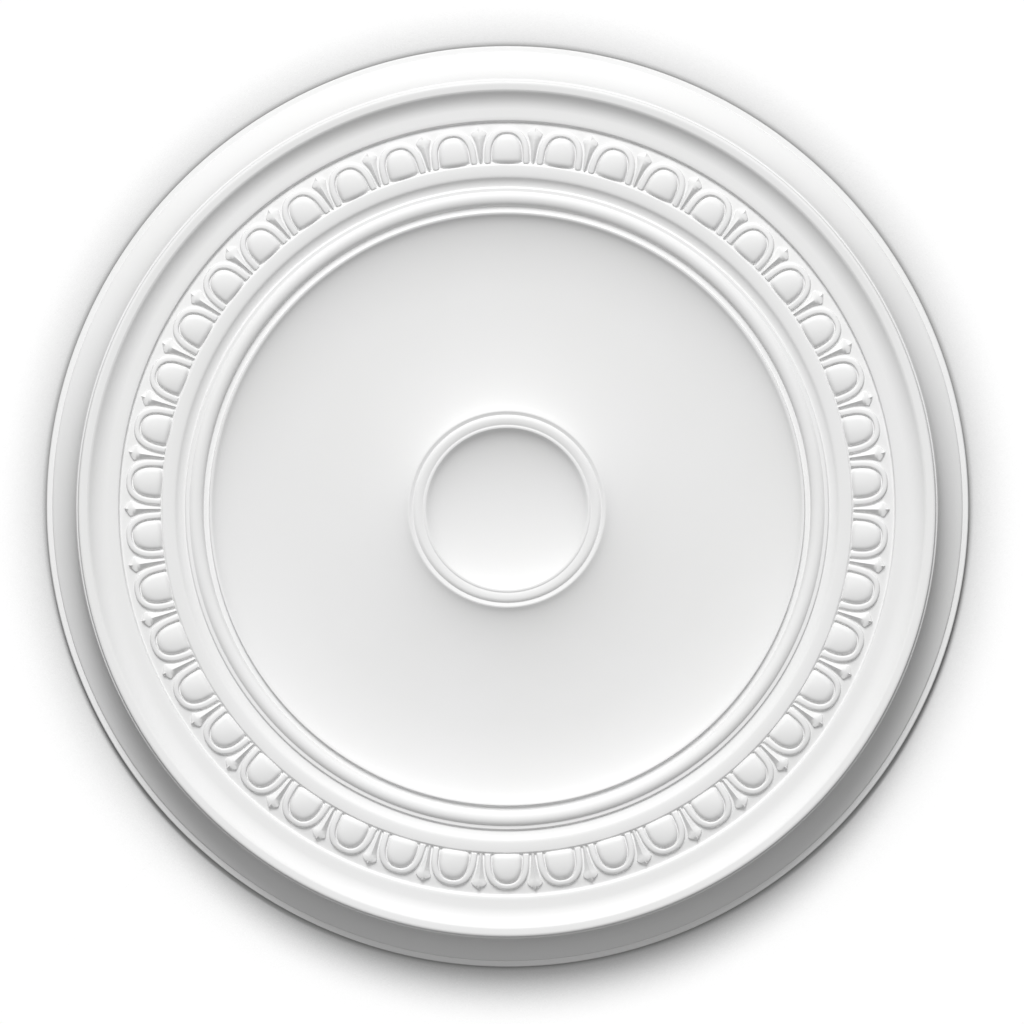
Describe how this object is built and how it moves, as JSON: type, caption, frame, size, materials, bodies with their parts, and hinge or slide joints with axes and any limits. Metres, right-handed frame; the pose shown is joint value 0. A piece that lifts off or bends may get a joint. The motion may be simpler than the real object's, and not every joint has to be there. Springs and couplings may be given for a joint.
{
  "type": "ceiling rose",
  "caption": "Round ceiling rose with a hollow-moulded rim, an egg-and-dart belt, a bead and a dished centre inside a raised ring.",
  "frame": {"origin": "centre of the flat back, which is fixed to the ceiling", "axes": "+Z out of the moulded face, along the rose's axis, so the rose lies on its back as on a bench and is turned over to be fixed; +X runs through a dart and +Y through an egg"},
  "size_m": [0.6199, 0.62, 0.034],
  "materials": {
    "rose_white": "matt white primed skin of a rigid foam casting"
  },
  "bodies": {
    "root": {"ceiling_rose": "rose_white"}
  },
  "joints": []
}
